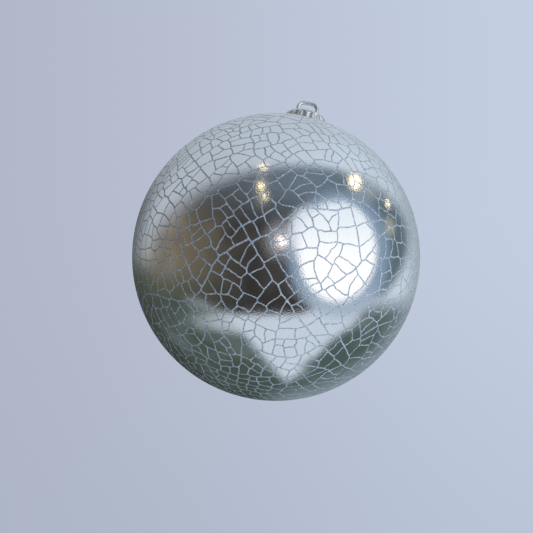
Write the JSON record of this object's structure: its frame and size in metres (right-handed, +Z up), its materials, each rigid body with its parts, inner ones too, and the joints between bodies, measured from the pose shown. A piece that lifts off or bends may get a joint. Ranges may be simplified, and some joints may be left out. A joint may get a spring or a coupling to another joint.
{
  "type": "glass ball ornament",
  "caption": "Hanging mirrored glass ball with a crackled silver lining, a fluted metal crown cap and a sprung wire hanger loop.",
  "frame": {"origin": "underside of the hanger loop's top, on the ornament's axis, where a hook or ribbon carries it", "axes": "+Z up along the ball's axis, from the ball to the loop; the hanger loop lies in the XZ plane, open along Y"},
  "size_m": [0.1, 0.1, 0.1114],
  "materials": {
    "clear_glass": "polished",
    "silver_mirror": "polished",
    "plated_cap": "gloss",
    "spring_wire": "gloss"
  },
  "bodies": {
    "hanger": {"wire_hanger": "spring_wire"},
    "cap": {"crown_cap": "plated_cap"},
    "globe": {"glass_globe": "clear_glass", "silver_lining": "silver_mirror"}
  },
  "joints": [
    {"name": "hanger_slide", "type": "slide", "parent": "hanger", "child": "cap", "axis": [0, 0, 1], "range_m": [0, 0.004]},
    {"name": "cap_pull", "type": "slide", "parent": "cap", "child": "globe", "axis": [0, 0, -1], "range_m": [0, 0.025]}
  ]
}
